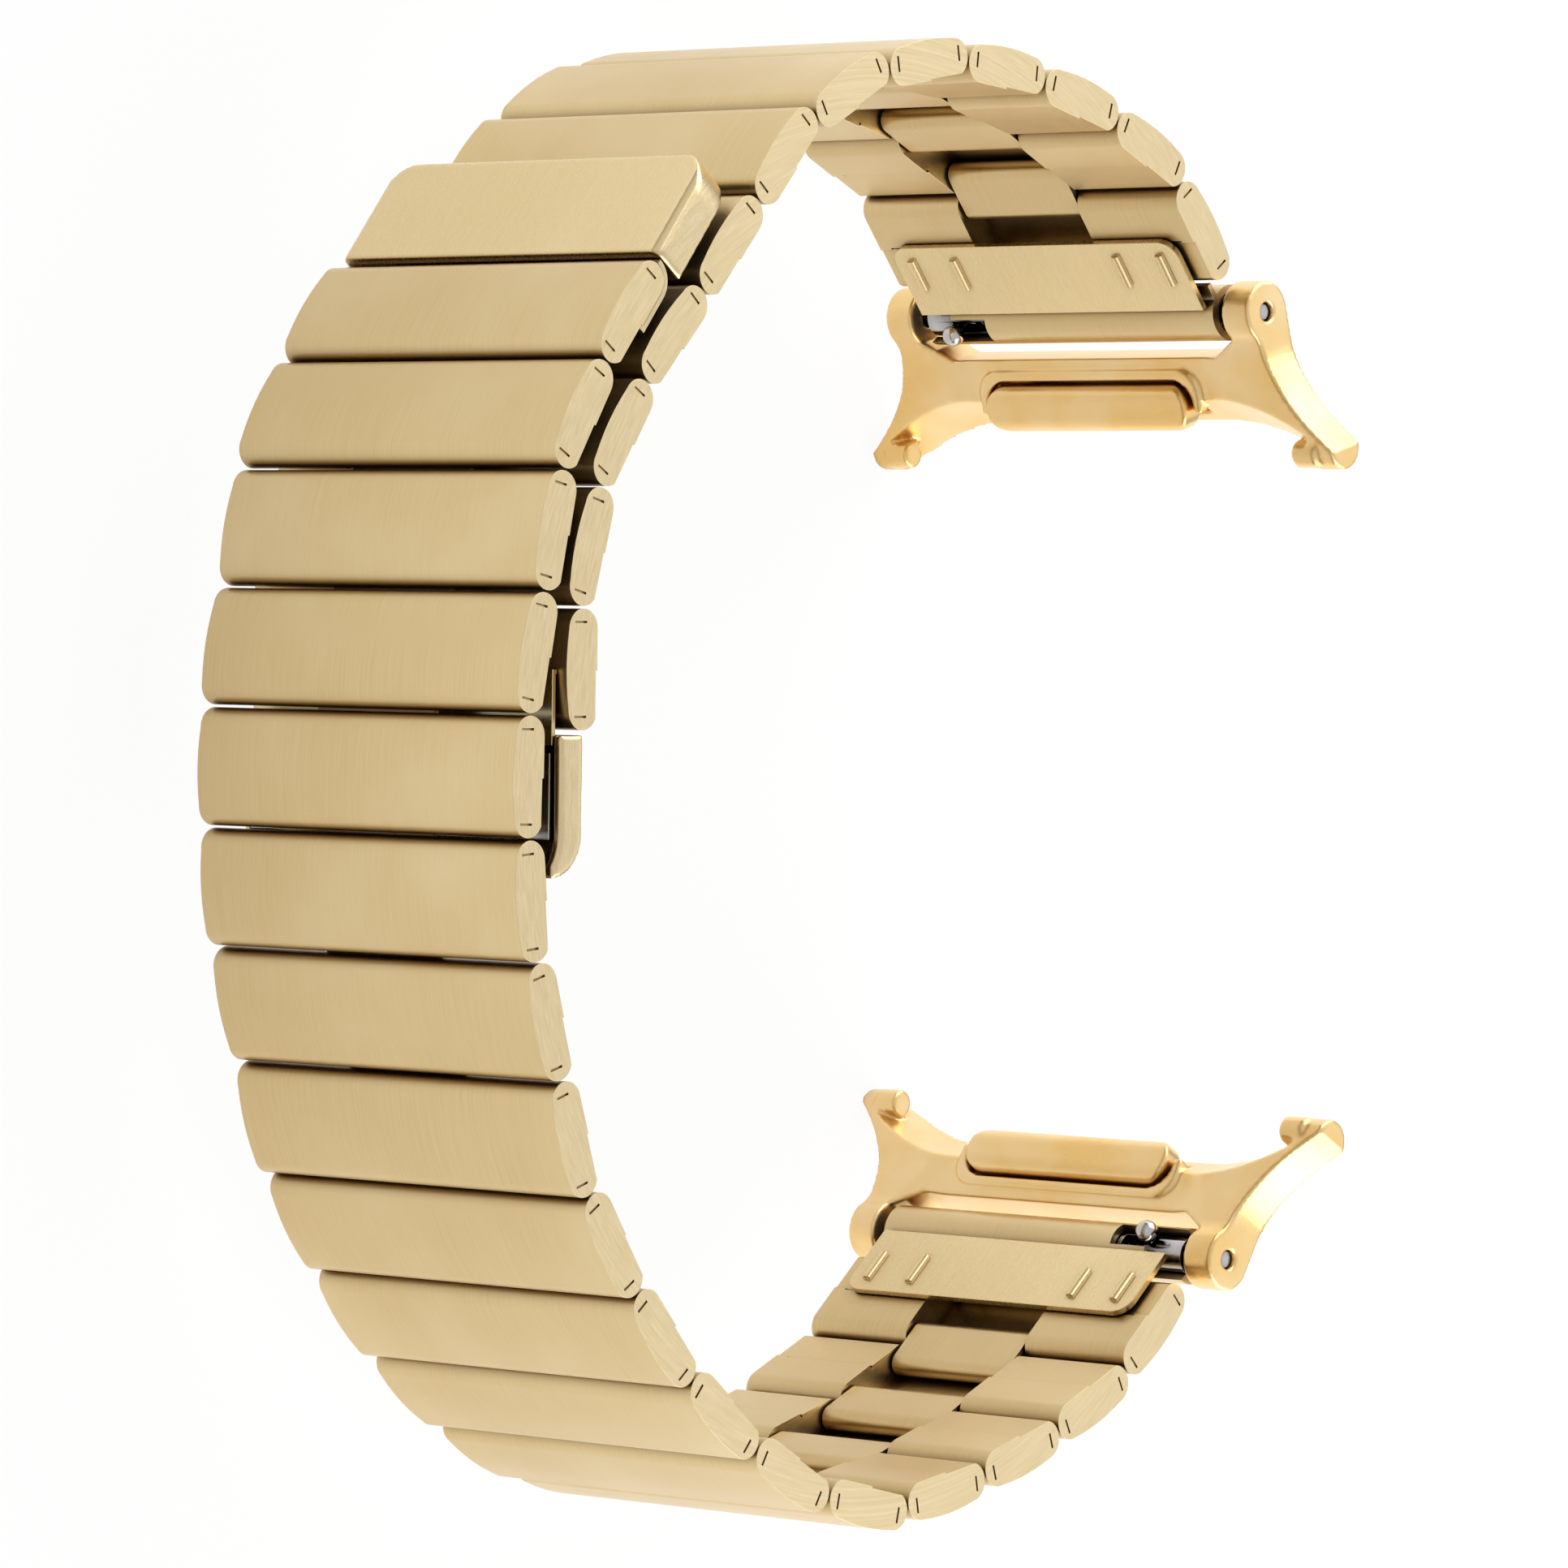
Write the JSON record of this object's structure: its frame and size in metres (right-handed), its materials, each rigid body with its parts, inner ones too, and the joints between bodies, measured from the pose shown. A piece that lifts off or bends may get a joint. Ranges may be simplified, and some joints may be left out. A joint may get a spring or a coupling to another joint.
{
  "type": "magnetic link watch band",
  "caption": "Gold plated steel watch band of folded links that laps over itself, held by magnet ends, with a click-in lug adapter at each watch end.",
  "frame": {"origin": "centre of the box round the whole band, at the plane that the adapter arm ends rest on", "axes": "+Z along the width of the band, +X from the far side of the wrist towards the watch, +Y across the loop towards the short strap"},
  "size_m": [0.058, 0.0752, 0.0324],
  "materials": {
    "link_gold": "brushed gold plating on folded steel sheet",
    "cast_gold": "satin gold plating on cast steel",
    "pale_gold_strip": "plain gold plated spring strip",
    "bar_chrome": "polished steel",
    "magnet_nickel": "nickel plated magnet",
    "spring_steel": "spring steel"
  },
  "bodies": {
    "short_08_held": {"short_link_08": "link_gold"},
    "short_01": {"short_link_01": "link_gold", "upper_bar_sleeve": "link_gold", "upper_ridged_plate": "link_gold", "upper_spring_bar": "bar_chrome", "upper_fixed_tip": "bar_chrome", "upper_bar_spring": "spring_steel"},
    "short_02": {"short_link_02": "link_gold"},
    "short_03": {"short_link_03": "link_gold"},
    "short_04": {"short_link_04": "link_gold"},
    "short_05": {"short_link_05": "link_gold"},
    "short_06": {"short_link_06": "link_gold"},
    "short_07": {"short_link_07": "link_gold"},
    "short_09": {"short_link_09": "link_gold"},
    "short_10": {"short_link_10": "link_gold"},
    "short_11": {"short_link_11": "link_gold"},
    "short_12": {"short_link_12": "link_gold", "inner_end_cover": "link_gold", "inner_end_magnet": "magnet_nickel", "inner_end_hook": "pale_gold_strip"},
    "long_01": {"long_link_01": "link_gold", "lower_bar_sleeve": "link_gold", "lower_ridged_plate": "link_gold", "lower_spring_bar": "bar_chrome", "lower_fixed_tip": "bar_chrome", "lower_bar_spring": "spring_steel"},
    "long_02": {"long_link_02": "link_gold"},
    "long_03": {"long_link_03": "link_gold"},
    "long_04": {"long_link_04": "link_gold"},
    "long_05": {"long_link_05": "link_gold"},
    "long_06": {"long_link_06": "link_gold"},
    "long_07": {"long_link_07": "link_gold"},
    "long_08": {"long_link_08": "link_gold"},
    "long_09": {"long_link_09": "link_gold"},
    "long_10": {"long_link_10": "link_gold"},
    "long_11": {"long_link_11": "link_gold"},
    "long_12": {"long_link_12": "link_gold"},
    "long_13": {"long_link_13": "link_gold"},
    "long_14": {"long_link_14": "link_gold"},
    "long_15": {"long_link_15": "link_gold"},
    "long_16": {"long_link_16": "link_gold"},
    "long_17": {"long_link_17": "link_gold", "clasp_cover": "link_gold", "clasp_magnet": "magnet_nickel", "clasp_hook": "pale_gold_strip"},
    "upper_adapter": {"upper_adapter_frame": "cast_gold", "upper_latch_spring": "spring_steel"},
    "upper_latch": {"upper_latch_bar": "cast_gold"},
    "upper_release": {"upper_release_tip": "bar_chrome"},
    "lower_adapter": {"lower_adapter_frame": "cast_gold", "lower_latch_spring": "spring_steel"},
    "lower_latch": {"lower_latch_bar": "cast_gold"},
    "lower_release": {"lower_release_tip": "bar_chrome"}
  },
  "joints": [
    {"name": "short_link_07_hinge", "type": "hinge", "parent": "short_08_held", "child": "short_07", "pos_m": [-0.01237, 0.02831, 0.0162], "axis": [0, 0, -1], "range_deg": [-1, 5]},
    {"name": "short_link_06_hinge", "type": "hinge", "parent": "short_07", "child": "short_06", "pos_m": [-0.00836, 0.03277, 0.0162], "axis": [0, 0, -1], "range_deg": [-19, 5]},
    {"name": "short_link_05_hinge", "type": "hinge", "parent": "short_06", "child": "short_05", "pos_m": [-0.00311, 0.03568, 0.0162], "axis": [0, 0, -1], "range_deg": [-20, 5]},
    {"name": "short_link_04_hinge", "type": "hinge", "parent": "short_05", "child": "short_04", "pos_m": [0.00281, 0.03662, 0.0162], "axis": [0, 0, -1], "range_deg": [-16, 5]},
    {"name": "short_link_03_hinge", "type": "hinge", "parent": "short_04", "child": "short_03", "pos_m": [0.00877, 0.03588, 0.0162], "axis": [0, 0, -1], "range_deg": [-9, 5]},
    {"name": "short_link_02_hinge", "type": "hinge", "parent": "short_03", "child": "short_02", "pos_m": [0.01454, 0.03423, 0.0162], "axis": [0, 0, -1], "range_deg": [-11, 5]},
    {"name": "short_link_01_hinge", "type": "hinge", "parent": "short_02", "child": "short_01", "pos_m": [0.01988, 0.03151, 0.0162], "axis": [0, 0, -1], "range_deg": [-26, 5]},
    {"name": "short_link_09_hinge", "type": "hinge", "parent": "short_08_held", "child": "short_09", "pos_m": [-0.01495, 0.02535, 0.0162], "axis": [0, 0, 1], "range_deg": [0, 8]},
    {"name": "short_link_10_hinge", "type": "hinge", "parent": "short_09", "child": "short_10", "pos_m": [-0.01904, 0.02096, 0.0162], "axis": [0, 0, 1], "range_deg": [0, 8]},
    {"name": "short_link_11_hinge", "type": "hinge", "parent": "short_10", "child": "short_11", "pos_m": [-0.02239, 0.01599, 0.0162], "axis": [0, 0, 1], "range_deg": [0, 8]},
    {"name": "short_link_12_hinge", "type": "hinge", "parent": "short_11", "child": "short_12", "pos_m": [-0.02405, 0.01022, 0.0162], "axis": [0, 0, 1], "range_deg": [0, 8]},
    {"name": "clasp_lift", "type": "slide", "parent": "short_08_held", "child": "long_17", "axis": [-0.7547, 0.6561, 0], "range_m": [0, 0.006]},
    {"name": "long_link_16_hinge", "type": "hinge", "parent": "long_17", "child": "long_16", "pos_m": [-0.0219, 0.02193, 0.0162], "axis": [0, 0, 1], "range_deg": [-7, 0]},
    {"name": "long_link_15_hinge", "type": "hinge", "parent": "long_16", "child": "long_15", "pos_m": [-0.02507, 0.01684, 0.0162], "axis": [0, 0, 1], "range_deg": [-19, 0]},
    {"name": "long_link_14_hinge", "type": "hinge", "parent": "long_15", "child": "long_14", "pos_m": [-0.02642, 0.011, 0.0162], "axis": [0, 0, 1], "range_deg": [-1, 0]},
    {"name": "long_link_13_hinge", "type": "hinge", "parent": "long_14", "child": "long_13", "pos_m": [-0.02767, 0.00513, 0.0162], "axis": [0, 0, 1], "range_deg": [-10, 0]},
    {"name": "long_link_12_hinge", "type": "hinge", "parent": "long_13", "child": "long_12", "pos_m": [-0.02788, -0.00087, 0.0162], "axis": [0, 0, 1], "range_deg": [-6, 0]},
    {"name": "long_link_11_hinge", "type": "hinge", "parent": "long_12", "child": "long_11", "pos_m": [-0.02746, -0.00685, 0.0162], "axis": [0, 0, 1], "range_deg": [-11, 3]},
    {"name": "long_link_10_hinge", "type": "hinge", "parent": "long_11", "child": "long_10", "pos_m": [-0.02591, -0.01265, 0.0162], "axis": [0, 0, 1], "range_deg": [-2, 3]},
    {"name": "long_link_09_hinge", "type": "hinge", "parent": "long_10", "child": "long_09", "pos_m": [-0.02415, -0.01839, 0.0162], "axis": [0, 0, 1], "range_deg": [-15, 3]},
    {"name": "long_link_08_hinge", "type": "hinge", "parent": "long_09", "child": "long_08", "pos_m": [-0.02098, -0.02347, 0.0162], "axis": [0, 0, 1], "range_deg": [-7, 3]},
    {"name": "long_link_07_hinge", "type": "hinge", "parent": "long_08", "child": "long_07", "pos_m": [-0.0172, -0.02814, 0.0162], "axis": [0, 0, 1], "range_deg": [-10, 3]},
    {"name": "long_link_06_hinge", "type": "hinge", "parent": "long_07", "child": "long_06", "pos_m": [-0.01267, -0.03207, 0.0162], "axis": [0, 0, 1], "range_deg": [-10, 3]},
    {"name": "long_link_05_hinge", "type": "hinge", "parent": "long_06", "child": "long_05", "pos_m": [-0.00753, -0.03516, 0.0162], "axis": [0, 0, 1], "range_deg": [-17, 3]},
    {"name": "long_link_04_hinge", "type": "hinge", "parent": "long_05", "child": "long_04", "pos_m": [-0.00171, -0.03662, 0.0162], "axis": [0, 0, 1], "range_deg": [-23, 3]},
    {"name": "long_link_03_hinge", "type": "hinge", "parent": "long_04", "child": "long_03", "pos_m": [0.00422, -0.03568, 0.0162], "axis": [0, 0, 1], "range_deg": [-7, 3]},
    {"name": "long_link_02_hinge", "type": "hinge", "parent": "long_03", "child": "long_02", "pos_m": [0.00999, -0.03402, 0.0162], "axis": [0, 0, 1], "range_deg": [-8, 3]},
    {"name": "long_link_01_hinge", "type": "hinge", "parent": "long_02", "child": "long_01", "pos_m": [0.01547, -0.03158, 0.0162], "axis": [0, 0, 1], "range_deg": [-17, 3]},
    {"name": "upper_adapter_swing", "type": "hinge", "parent": "short_01", "child": "upper_adapter", "pos_m": [0.02548, 0.02408, 0.0162], "axis": [0, 0, -1], "range_deg": [-20, 15]},
    {"name": "lower_adapter_swing", "type": "hinge", "parent": "long_01", "child": "lower_adapter", "pos_m": [0.02249, -0.02548, 0.0162], "axis": [0, 0, 1], "range_deg": [-20, 15]},
    {"name": "upper_latch_press", "type": "slide", "parent": "upper_adapter", "child": "upper_latch", "axis": [0.9703, 0.2419, 0], "range_m": [0, 0.0005], "stiffness_N_per_m": 1000, "deforming": ["upper_latch_spring"]},
    {"name": "lower_latch_press", "type": "slide", "parent": "lower_adapter", "child": "lower_latch", "axis": [0.8572, -0.515, 0], "range_m": [0, 0.0005], "stiffness_N_per_m": 1000, "deforming": ["lower_latch_spring"]},
    {"name": "upper_release_slide", "type": "slide", "parent": "short_01", "child": "upper_release", "axis": [0, 0, 1], "range_m": [0, 0.0016], "stiffness_N_per_m": 300, "deforming": ["upper_bar_spring"]},
    {"name": "lower_release_slide", "type": "slide", "parent": "long_01", "child": "lower_release", "axis": [0, 0, -1], "range_m": [0, 0.0016], "stiffness_N_per_m": 300, "deforming": ["lower_bar_spring"]}
  ]
}
